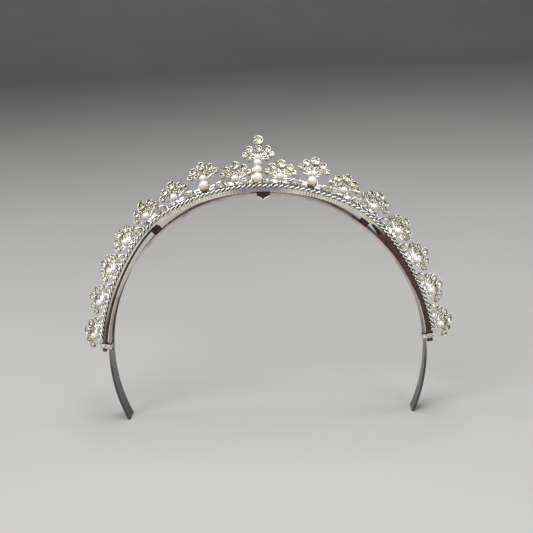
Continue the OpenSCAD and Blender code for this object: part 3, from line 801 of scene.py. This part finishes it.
# Stones; the turns only keep neighbours from looking alike
STONE_METALS = (stone_mat, foil_mat)
for side_name, side in SIDES:
    shape = Shape()
    for i in range(1, SIDE_COUNT + 1):
        place = on_ornament(i, side)
        v = SECOND_LOW_V + SECOND_STEP if i == 2 else PEARL_V
        for k, (x, up, d) in enumerate(FAN + FAN_INNER):
            gem(shape, (x, v + up, gem_seat(d)), d, turn=11 * (i + k), place=place)
    shape.build(f"stones_{side_name}_cut", STONE_METALS, [f"stones_{side_name}"], sharp=FACETED)
shape = Shape(on_ornament(0, 1))
for k, (x, up, d) in enumerate(CENTRE_FAN + CENTRE_INNER):
    gem(shape, (x, CENTRE_PEARLS_V[3] + up, gem_seat(d)), d, turn=13 * k)
gem(shape, (0, CENTRE_PEARLS_V[3] + FINIAL_V, gem_seat(FINIAL_D)), FINIAL_D, turn=9)
shape.build("stones_centre_cut", STONE_METALS, ["stones_centre"], sharp=FACETED)


# Room for half an ornament's foot beside a scallop, and for the small collet in it
FOOT_ROOM = 2.5
COLLET_ROOM = 0.1
COLLET_GAP = 0.08
COLLET_WALL = 0.2


def scallop_size(i):
    return min(SCALLOP_R, scallop_s(i) - ornament_s(i - 1) - FOOT_ROOM)


def gap_size(i):
    return min(GAP_STONE_D, scallop_size(i) - SCALLOP_WIRE - COLLET_ROOM - SMALL_GAP)


def gap_seat(size):
    return SETTING_FLOOR + GEM_DEPTH * size


def on_scallop(i, side):
    """A map for a scallop: x along the band, y outwards, z towards the front from the plate's back."""
    outer = on_curve(BAND, angle_at(scallop_s(i)), PLATE_OUT, side)
    return lambda p: outer(Vector((p.x, PLATE_BACK - p.z, p.y)))


shape = Shape()
for side_name, side in SIDES:
    for i in range(1, SIDE_COUNT + 1):
        size = gap_size(i)
        gem(shape, (0, size / 2, gap_seat(size)), size, turn=17 * i, place=on_scallop(i, side))
shape.build("gap_stones_cut", STONE_METALS, ["gap_stones"], sharp=FACETED)


# Base band
def sweep(shape, section_at, angles, mat_at=None):
    """Sweeps sections of (mm out from the band's arc, depth) along the band."""
    shape.skin([[curve_point(BAND, a, off, y) for off, y in section_at(k)] for k, a in enumerate(angles)],
               mat_at=mat_at)


# The band's radius, roughly, to turn a step in mm into an angle
MEAN_R = 66


def span(end, step_mm):
    """Angles from -end to end, about step_mm apart."""
    n = int(2 * math.radians(end) * MEAN_R / step_mm)
    return [-end + 2 * end * k / n for k in range(n + 1)]


base = Shape()
# The band's materials; SILVER is the first of them too
STRIP, GROOVE, SHADE, BLACK, SHADED_INNER = range(1, 6)
BASE_METALS = (bright, strip_metal, groove_shade_metal, shade_metal, under_shade_metal, brown_shade_metal)
RIB_STEPS = 4
RIB_PITCH = 0.96
RIB_GROOVE = 0.22
PLATE_STEP = 1.2
strip_end = angle_at(ornament_s(SIDE_COUNT) + STRIP_PAST_END)
plate_end = angle_at(ornament_s(SIDE_COUNT) + PLATE_PAST_END)


# Below the right bracket the strip shows its inner side too, so it looks up to twice as wide
WIDE_FROM = 44.5
WIDE_RAMP = 9
WIDE_LIP = 1.4
LIP_CLEAR = 0.3


def inner_lip(a):
    """How far the strip reaches inwards at an angle, in mm, clear of the headband."""
    if a < WIDE_FROM:
        return 0.0
    p = curve_point(BAND, a, 0, 0)
    x, z = HEADBAND[1][:2]
    gap = math.hypot(p.x - x, p.z - z) - SIDE_R - HEADBAND_T
    return min(1.0, (a - WIDE_FROM) / WIDE_RAMP) * min(WIDE_LIP, max(0.0, gap - LIP_CLEAR))


def strip_section(k):
    groove = RIB_GROOVE if k % RIB_STEPS == 0 else 0.0
    y0, y1 = STRIP_FRONT, STRIP_FRONT + STRIP_DEPTH
    e = 0.1
    w = -inner_lip(strip_angles[k])
    return ((w, y1), (w, y0 + 0.3), (w + 0.02, y0 + e), (w + e, y0 + 0.02), (w + e + 0.1, y0 + groove),
            (STRIP_W / 2, y0 + groove), (STRIP_W - e - 0.1, y0 + groove), (STRIP_W - e, y0 + 0.02),
            (STRIP_W - 0.02, y0 + e), (STRIP_W, y0 + 0.3), (STRIP_W, y1 - e), (STRIP_W - e, y1))


base.mat = STRIP
strip_angles = span(strip_end, RIB_PITCH / RIB_STEPS)
# Beyond the left bracket the strip's inner half is black painted shade, so that it looks narrow
LEFT_BLACK_FROM = -38
# The sides of the strip's section that make up its inner half
INNER_SIDES = (0, 1, 2, 3, 4, 11)


def strip_mat(k, j):
    if strip_angles[k] < LEFT_BLACK_FROM and j in INNER_SIDES:
        return BLACK
    # Below the right bracket the inner half takes painted shade: brown, with black in the grooves
    if strip_angles[k] > WIDE_FROM and j in INNER_SIDES:
        return BLACK if k % RIB_STEPS == 0 else SHADED_INNER
    # The faces in and beside each groove take painted shade, so the ribs show
    return GROOVE if k % RIB_STEPS in (0, RIB_STEPS - 1) else STRIP


sweep(base, strip_section, strip_angles, mat_at=strip_mat)


def plate_section(_):
    e = 0.08
    return ((PLATE_IN, PLATE_FRONT), (PLATE_OUT - e, PLATE_FRONT), (PLATE_OUT, PLATE_FRONT + e),
            (PLATE_OUT, PLATE_BACK - e), (PLATE_OUT - e, PLATE_BACK), (PLATE_IN, PLATE_BACK))


# The plate behind the rope is painted shade, so the rope's gaps look dark
base.mat = SHADE
sweep(base, plate_section, span(plate_end, PLATE_STEP))
base.mat = SILVER
SCALLOP_STEPS = 96
FLUTE_STEPS = 6
for side_name, side in SIDES:
    for i in range(1, SIDE_COUNT + 1):
        place = on_scallop(i, side)
        r = scallop_size(i)
        size = gap_size(i)
        rings = []
        for k in range(SCALLOP_STEPS):
            t = 360 * k / SCALLOP_STEPS
            flute = 0.5 + 0.5 * math.cos(2 * math.pi * k / FLUTE_STEPS)
            c = Vector((0, -0.1, 0))
            out = Vector((cos(t), sin(t), 0))
            rings.append([c + out * q + Vector((0, 0, w)) for q, w in (
                (r - 0.02, 0.1), (r, 0.62), (r - 0.08, 0.8), (r - 0.2, 0.86), (r - 0.32, 0.8),
                (r - 0.42, 0.6 + 0.1 * flute), (r - 0.7, 0.42 + 0.2 * flute),
                (r - 0.95, 0.28 + 0.12 * flute), (r - 0.98, 0.1))])
        base.skin(rings, closed=True, place=place)
        cup = size / 2 + COLLET_GAP + COLLET_WALL
        lip = gap_seat(size) - 0.05
        lathe(base, (0, size / 2, 0), (
            (cup * 0.8, 0.1), (cup * 0.96, 0.4), (cup, lip - 0.1), (cup - 0.05, lip),
            (size / 2 + 0.07, lip - 0.02), (size / 2 + 0.03, lip - 0.2), (size * 0.3, 0.33),
            (0.02, 0.3), (0.02, 0.1)), segs=24, place=place)
base.build("base_band_dressed", BASE_METALS, ["base_band"])

# Twisted wire
rope = Shape()
STRAND_R = ROPE_LONG / 4
STRAND_SIDES = 12
# The sides of a strand that turn to the other one, which take painted shade so the gaps between strands look
# dark
STRAND_INNER = range(3, 9)
STRAND_SLIM = 0.98
TURN_STEPS = 14
ROPE_BACK = 0.1
rope_s = ornament_s(SIDE_COUNT) + PLATE_PAST_END
rope_off = STRIP_W + ROPE_LONG / 2 + ROPE_CLEAR
rope_y = PLATE_FRONT - ROPE_BACK - ROPE_LONG / 2 - ROPE_CLEAR
count = int(2 * rope_s / ROPE_PITCH * TURN_STEPS)


def rope_axis(k):
    s = -rope_s + 2 * rope_s * k / count
    a = math.copysign(angle_at(abs(s)), s)
    return curve_point(BAND, a, rope_off, rope_y), Vector((sin(a), 0, cos(a)))


for strand in (0, 180):
    centres = []
    for k in range(count + 1):
        middle, out = rope_axis(k)
        t = 360 * k / TURN_STEPS + strand
        swing = out * cos(t) + Vector((0, sin(t), 0))
        centres.append((middle + swing * STRAND_R, swing))
    rings = []
    for k, (c, swing) in enumerate(centres):
        run = (centres[min(k + 1, count)][0] - centres[max(k - 1, 0)][0]).normalized()
        side = run.cross(swing).normalized()
        away = side.cross(run)
        around = [360 / STRAND_SIDES * j for j in range(STRAND_SIDES)]
        rings.append([c + (away * cos(a) + side * sin(a)) * STRAND_R * STRAND_SLIM for a in around])
    rope.skin(rings, mat_at=lambda k, j: 1 if j in STRAND_INNER else 0)
rope.build("rope_border_twisted", [bright, shade_metal], ["rope_border"], sharp=60)


# Headband, clip, brackets and ties
EDGE_FROM = 35
SMOOTH_TO = 12
# A face whose normal's y is below this looks to the front
FACES_FRONT = -0.9
BRACKET_EDGE = 0.08
HEADBAND_EDGE = 0.12
# How deep the painted highlight on the front of the headband's rail goes
RAIL_DEEP = 0.3


def bevelled(node, materials, width, name, front=None):
    """A node's own shape with its edges rounded; faces ahead of front, in mm, wear the second material."""
    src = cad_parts[node]
    bm = bmesh.new()
    bm.from_mesh(src.data)
    bmesh.ops.remove_doubles(bm, verts=bm.verts, dist=0.002 * MM)
    bmesh.ops.dissolve_limit(bm, angle_limit=math.radians(0.5), verts=bm.verts, edges=bm.edges)
    sharp = math.radians(EDGE_FROM)
    edges = [e for e in bm.edges if len(e.link_faces) == 2 and e.calc_face_angle(0) > sharp]
    bmesh.ops.bevel(bm, geom=edges, offset=width * MM, segments=2, affect="EDGES", profile=0.6,
                    clamp_overlap=True)
    mesh = bpy.data.meshes.new(name)
    bm.to_mesh(mesh)
    bm.free()
    mesh.materials.clear()
    for m in materials:
        mesh.materials.append(m)
    for f in mesh.polygons:
        ahead = front is not None and f.normal.y < FACES_FRONT and f.center.y / MM < front
        f.material_index = 1 if ahead else 0
    mesh.polygons.foreach_set("use_smooth", [True] * len(mesh.polygons))
    mesh.set_sharp_from_angle(angle=math.radians(SMOOTH_TO))
    obj = bpy.data.objects.new(name, mesh)
    bpy.context.scene.collection.objects.link(obj)
    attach(obj, "root")
    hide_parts(node)


# Painted light on the headband: a highlight on its front faces, shade on the rest
bevelled("headband", [band_shade_metal, rail_lit_metal], HEADBAND_EDGE, "headband_dressed",
         front=HEADBAND_FRONT + DEPTH_SHIFT + RAIL_DEEP)
bevelled("centre_clip", [clip_shade_metal], BRACKET_EDGE, "centre_clip_dressed")
tongue = Shape(on_curve(HEADBAND, math.degrees(CLIP_SHIFT / TOP_R), 0))
clip_y = HEADBAND_FRONT - SMALL_GAP - CLIP_T
# The rim along the lower edge of the clip's tongue, down to its point, in a pale pink painted highlight
tube(tongue, [(-2.3, clip_y + 0.1, -0.22), (-0.9, clip_y + 0.04, -0.92), (0, clip_y + 0.04, -1.70),
              (0.9, clip_y + 0.04, -0.92), (2.3, clip_y + 0.1, -0.22)],
     [0.14, 0.19, 0.21, 0.19, 0.14], up=(0, 1, 0))
tongue.build("centre_clip_rim", [tongue_edge_highlight], ["centre_clip"])
for side_name, side in SIDES:
    bevelled(f"bracket_{side_name}", [clip_shade_metal], BRACKET_EDGE,
             f"bracket_{side_name}_dressed")

tie_angle = angle_at(ornament_s(SIDE_COUNT) + TIE_PAST_END)
tie_point = curve_point(BAND, tie_angle, 0, 0)
side_x, side_z = HEADBAND[1][:2]
tie_dx, tie_dz = tie_point.x - side_x, tie_point.z - side_z
tie_gap = math.hypot(tie_dx, tie_dz) - SIDE_R - HEADBAND_T
tie_slant = math.degrees(math.atan2(tie_dx, tie_dz)) - tie_angle
# Turns of the wire lie a little into each other, and the wire is drawn a little thin
TURN_PACKED = 0.95
WIRE_SLIM = 0.96
CORNER_STEPS = 10
wire_r = WIRE_D / 2
coil = WIRE_D * TURN_PACKED * WIRE_TURNS
tie_reach = tie_gap + HEADBAND_T + SMALL_GAP + coil / 2 * math.tan(math.radians(tie_slant))
tie_near = STRIP_FRONT - SMALL_GAP - wire_r
tie_far = STRIP_FRONT - SMALL_GAP + (STRIP_DEPTH + 2 * SMALL_GAP) + wire_r
tie_top = tie_reach + STRIP_W + SMALL_GAP + wire_r
corners = ((tie_near, -wire_r), (tie_far, -wire_r), (tie_far, tie_top), (tie_near, tie_top))
for side_name, side in SIDES:
    shape = Shape(on_curve(BAND, tie_angle, -tie_reach, side))
    pts = []
    total = WIRE_TURNS * 4 * CORNER_STEPS
    for k in range(total + 1):
        c, f = divmod(k, CORNER_STEPS)
        (ya, za), (yb, zb) = corners[c % 4], corners[(c + 1) % 4]
        t = f / CORNER_STEPS
        x = -coil / 2 + wire_r + (coil - 2 * wire_r) * k / total
        pts.append(Vector((x, ya + (yb - ya) * t, za + (zb - za) * t)))
    smooth = [pts[0]] + [(pts[k - 1] + pts[k] * 2 + pts[k + 1]) / 4 for k in range(1, total)] + [pts[-1]]
    tube(shape, smooth, wire_r * WIRE_SLIM, sides=8, up=(1, 0, 0))
    shape.build(f"binding_{side_name}_wire", [wire_metal], [f"binding_{side_name}"],
                sharp=60)


# Floor, light and camera
FLOOR_R = 1.7
SWEEP_R = 0.9
SWEEP_STEPS = 10
FLOOR_SEGS = 64
FLOOR_TONES = ((0.3, (0.58, 0.575, 0.565)), (0.7, (0.63, 0.625, 0.61)))


def make_floor():
    """A flat round floor that sweeps up into a plain wall far from the object."""
    mat, nt, shader, coord = new_material("pale_floor")
    soft = noise_node(nt, coord, 3.0, 2.0, 0.5)
    nt.links.new(ramp(nt, soft, FLOOR_TONES), shader.inputs["Base Color"])
    shader.inputs["Roughness"].default_value = 0.75
    bump(nt, shader, noise_node(nt, coord, 400.0, 2.0, 0.5), 0.03 * MM)
    wall = FLOOR_R + SWEEP_R
    rows = [(FLOOR_R, 0.0)]
    for k in range(1, SWEEP_STEPS + 1):
        t = 90 / SWEEP_STEPS * k
        rows.append((FLOOR_R + SWEEP_R * sin(t), SWEEP_R - SWEEP_R * cos(t)))
    rows.append((wall, wall))
    turns = [360 * j / FLOOR_SEGS for j in range(FLOOR_SEGS)]
    verts = [(0, 0, 0)] + [(r * cos(t), r * sin(t), z) for r, z in rows for t in turns]
    after = [(j + 1) % FLOOR_SEGS for j in range(FLOOR_SEGS)]
    faces = [(0, 1 + j, 1 + nxt) for j, nxt in enumerate(after)]
    for k in range(len(rows) - 1):
        low, high = 1 + k * FLOOR_SEGS, 1 + (k + 1) * FLOOR_SEGS
        faces += [(low + j, high + j, high + nxt, low + nxt) for j, nxt in enumerate(after)]
    mesh = bpy.data.meshes.new("floor")
    mesh.from_pydata(verts, [], faces)
    mesh.materials.append(mat)
    mesh.polygons.foreach_set("use_smooth", [True] * len(mesh.polygons))
    obj = bpy.data.objects.new("floor", mesh)
    bpy.context.scene.collection.objects.link(obj)


make_floor()


def aim(obj, target, roll=0.0):
    """Points a light or camera at a place, tipped sideways by roll degrees."""
    look = (Vector(target) - obj.location).normalized()
    q = look.to_track_quat("-Z", "Y")
    obj.rotation_euler = (q.to_matrix() @ Matrix.Rotation(math.radians(roll), 3, "Z")).to_euler()


MIDDLE = (0, 0, 0.06)
# Area lights: name, place, size, power, colour
LIGHTS = (
    ("key_light", (-0.35, -0.55, 0.70), (0.75, 0.50), 4.6, (1.0, 0.99, 0.97)),
    ("top_light", (0.10, 0.05, 0.95), (0.90, 0.40), 4.2, (1, 1, 1)),
    ("front_light", (0.50, -0.80, 0.40), (0.40, 0.40), 1.9, (0.98, 0.99, 1.0)),
    ("left_light", (-0.85, 0.10, 0.22), (0.40, 0.40), 1.8, (1.0, 0.99, 0.97)),
    ("right_light", (0.85, 0.10, 0.24), (0.40, 0.40), 1.8, (0.97, 0.985, 1.0)))
for name, place, size, power, colour in LIGHTS:
    data = bpy.data.lights.new(name, "AREA")
    data.shape = "RECTANGLE"
    data.size, data.size_y = size
    data.energy = power
    data.color = colour
    obj = bpy.data.objects.new(name, data)
    obj.location = place
    bpy.context.scene.collection.objects.link(obj)
    aim(obj, MIDDLE)

world = bpy.data.worlds.new("studio")
world.use_nodes = True
background = world.node_tree.nodes["Background"]
background.inputs["Color"].default_value = (0.80, 0.84, 0.92, 1)
background.inputs["Strength"].default_value = 0.10
bpy.context.scene.world = world
bpy.context.scene.view_settings.view_transform = "Standard"

# The photograph's view: a little to the right of the middle and above, the camera tipped sideways
VIEW_TURN = 3.45
VIEW_UP = 15.0
VIEW_ROLL = -3.03
VIEW_DISTANCE = 0.430
VIEW_LENS = 73.28
VIEW_TARGET = Vector((0.0015, DEPTH_SHIFT * MM, 0.0618))
cam_data = bpy.data.cameras.new("photo_view")
cam_data.lens = VIEW_LENS
cam_data.sensor_width = 36
cam_data.clip_start = 0.01
cam = bpy.data.objects.new("photo_view", cam_data)
toward = Vector((sin(VIEW_TURN) * cos(VIEW_UP), -cos(VIEW_TURN) * cos(VIEW_UP), sin(VIEW_UP)))
cam.location = VIEW_TARGET + toward * VIEW_DISTANCE
bpy.context.scene.collection.objects.link(cam)
aim(cam, VIEW_TARGET, VIEW_ROLL)
bpy.context.scene.camera = cam
